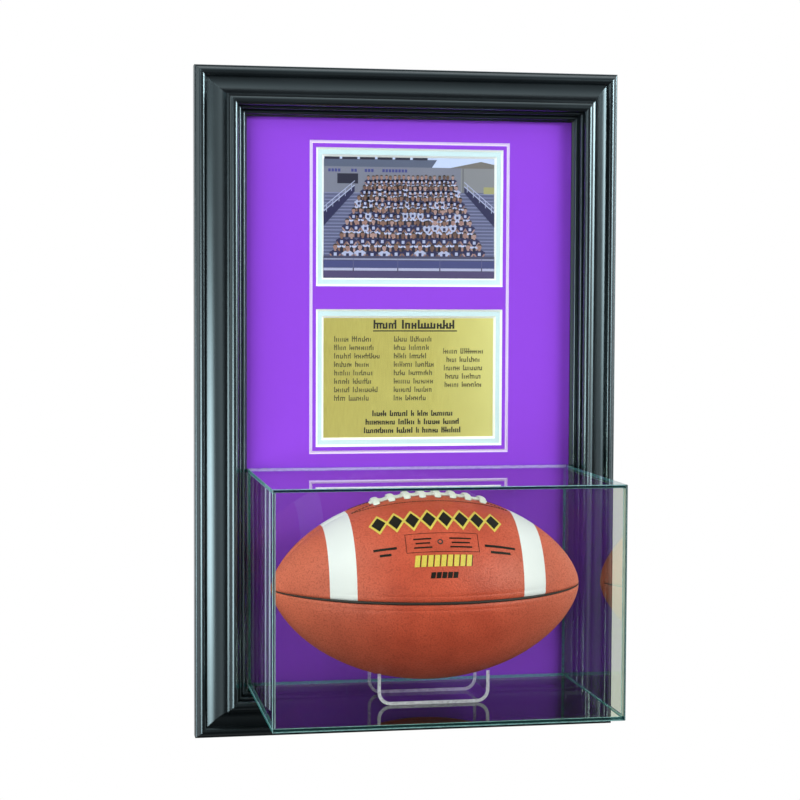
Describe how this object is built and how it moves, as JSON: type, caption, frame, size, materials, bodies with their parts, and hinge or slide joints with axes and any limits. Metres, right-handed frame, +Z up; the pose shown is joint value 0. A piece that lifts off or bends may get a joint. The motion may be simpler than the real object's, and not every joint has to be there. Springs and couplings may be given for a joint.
{
  "type": "football display case",
  "caption": "Wall-hung display case: black moulded frame door with a glass box holding a football on a clear cradle, over a matted picture and plaque.",
  "frame": {"origin": "centre of the rear face, which lies flat on the wall", "axes": "+Z up, +X to the viewer's right, the front and the glass box face -Y"},
  "size_m": [0.41, 0.244, 0.636],
  "materials": {
    "back_board": "smooth brown hardboard, matt",
    "stained_wood": "wood painted satin black",
    "zinc_steel": "zinc plated",
    "raw_wood": "bare pine",
    "foam_board": "white paper-faced foam board",
    "photo_paper": "glossy photographic print",
    "brass_sheet": "brushed satin, engraved dark",
    "pale_mat": "smooth pale mat board",
    "purple_mat": "smooth purple mat board with a white core",
    "picture_glass": "clear picture glass",
    "black_aluminium": "black anodised",
    "brass_hinge": "satin brass plate",
    "black_moulding": "satin black lacquer over wood",
    "box_glass": "clear float glass with green polished edges",
    "clear_silicone": "clear silicone",
    "clear_acrylic": "clear bent acrylic",
    "ball_leather": "pebbled orange-brown leather, semi-matt",
    "bladder_rubber": "black rubber",
    "white_lace": "white grippy lace"
  },
  "bodies": {
    "cabinet": {"back_panel": "back_board", "cabinet_side_left": "stained_wood", "cabinet_side_right": "stained_wood", "cabinet_top": "stained_wood", "cabinet_bottom": "stained_wood", "wall_plates": "zinc_steel", "wall_plate_rivets": "zinc_steel", "back_screws": "zinc_steel", "riser_left": "raw_wood", "riser_right": "raw_wood", "riser_top": "raw_wood", "riser_bottom": "raw_wood", "riser_screws": "zinc_steel", "backing_board": "foam_board", "photo_print": "photo_paper", "brass_plaque": "brass_sheet", "inner_mat": "pale_mat", "top_mat": "purple_mat", "picture_glass": "picture_glass", "retainer_left": "black_aluminium", "retainer_right": "black_aluminium", "retainer_top": "black_aluminium", "retainer_bottom": "black_aluminium", "hinge_cabinet_leaves": "brass_hinge", "hinge_pins": "brass_hinge", "hinge_cabinet_screws": "brass_hinge", "catch_magnets": "zinc_steel"},
    "door": {"rail_left": "black_moulding", "rail_right": "black_moulding", "rail_top": "black_moulding", "rail_bottom": "black_moulding", "corner_nails": "zinc_steel", "glass_front": "box_glass", "glass_top": "box_glass", "glass_bottom": "box_glass", "glass_left": "box_glass", "glass_right": "box_glass", "box_seal": "clear_silicone", "ball_cradle": "clear_acrylic", "hinge_door_leaves": "brass_hinge", "hinge_door_screws": "brass_hinge", "strike_plates": "zinc_steel", "strike_screws": "zinc_steel"},
    "ball": {"ball_panel_1": "ball_leather", "ball_panel_2": "ball_leather", "ball_panel_3": "ball_leather", "ball_panel_4": "ball_leather", "ball_bladder": "bladder_rubber", "ball_laces": "white_lace", "ball_valve": "bladder_rubber"}
  },
  "joints": [
    {"name": "door_hinge", "type": "hinge", "parent": "cabinet", "child": "door", "pos_m": [0.2018, -0.01975, 0], "axis": [0, 0, 1], "range_deg": [0, 95]},
    {"name": "ball_turn", "type": "hinge", "parent": "door", "child": "ball", "pos_m": [-0.002, -0.136, -0.1613], "axis": [1, 0, 0], "range_deg": [-135, 135]}
  ]
}
